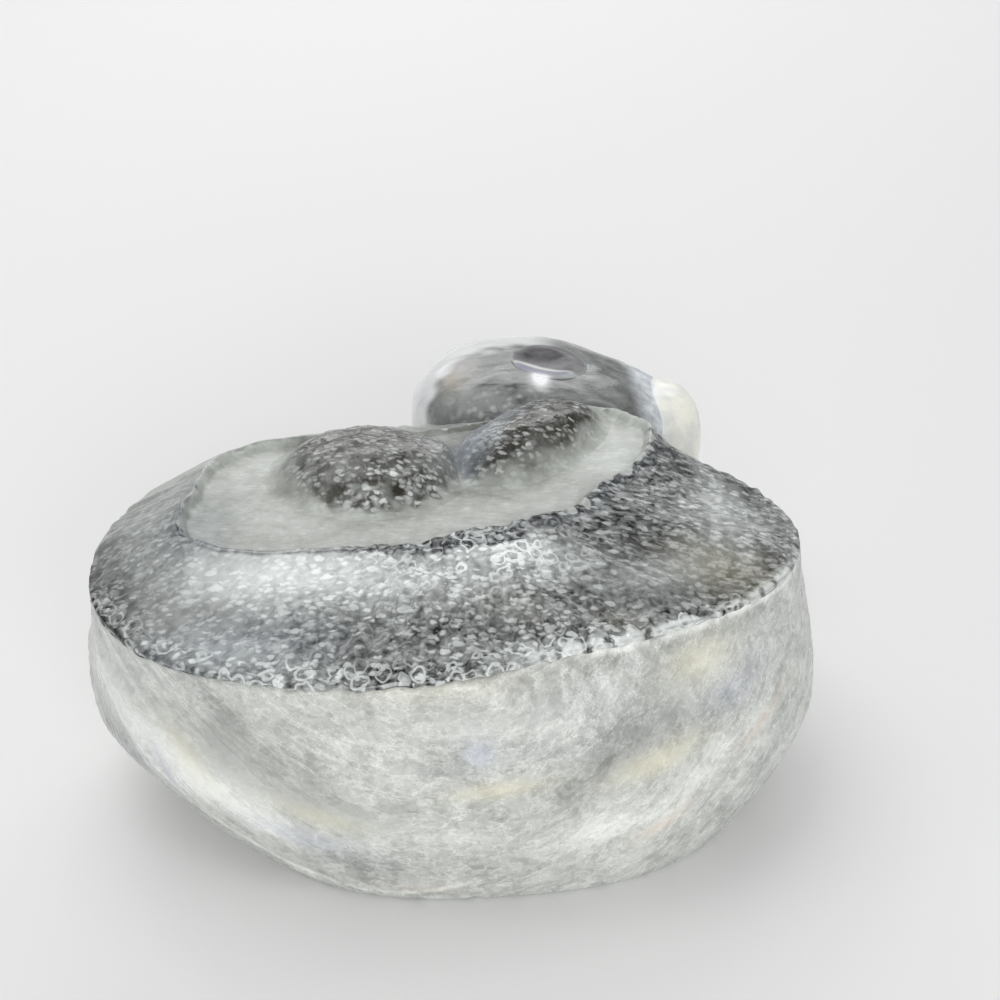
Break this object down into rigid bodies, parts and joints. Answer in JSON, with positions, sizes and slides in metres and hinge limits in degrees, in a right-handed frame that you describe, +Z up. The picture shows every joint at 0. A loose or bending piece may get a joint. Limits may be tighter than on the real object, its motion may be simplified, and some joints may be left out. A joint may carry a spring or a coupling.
{
  "type": "chick figurine",
  "caption": "Clear cast glass chick lying on its flat base, with pebbled plumage, a smooth egg-shaped head and a cream beak.",
  "frame": {"origin": "centre of the footprint on the table, at the flat base", "axes": "+Z up from the flat base, +X from the tail end to the beak, +Y from the breast to the head"},
  "size_m": [0.085, 0.0812, 0.04],
  "materials": {
    "satin_glass": "satin cast wall with faint flow streaks",
    "pebbled_glass": "glossy pebbled mould texture",
    "clear_glass": "fire-polished and smooth",
    "dimple_glass": "polished dimple",
    "cream_glass": "frosted cream"
  },
  "bodies": {
    "root": {"body": "satin_glass", "plumage": "pebbled_glass", "wing": "pebbled_glass", "shoulder": "pebbled_glass", "head": "clear_glass", "eye": "dimple_glass", "beak": "cream_glass"}
  },
  "joints": []
}
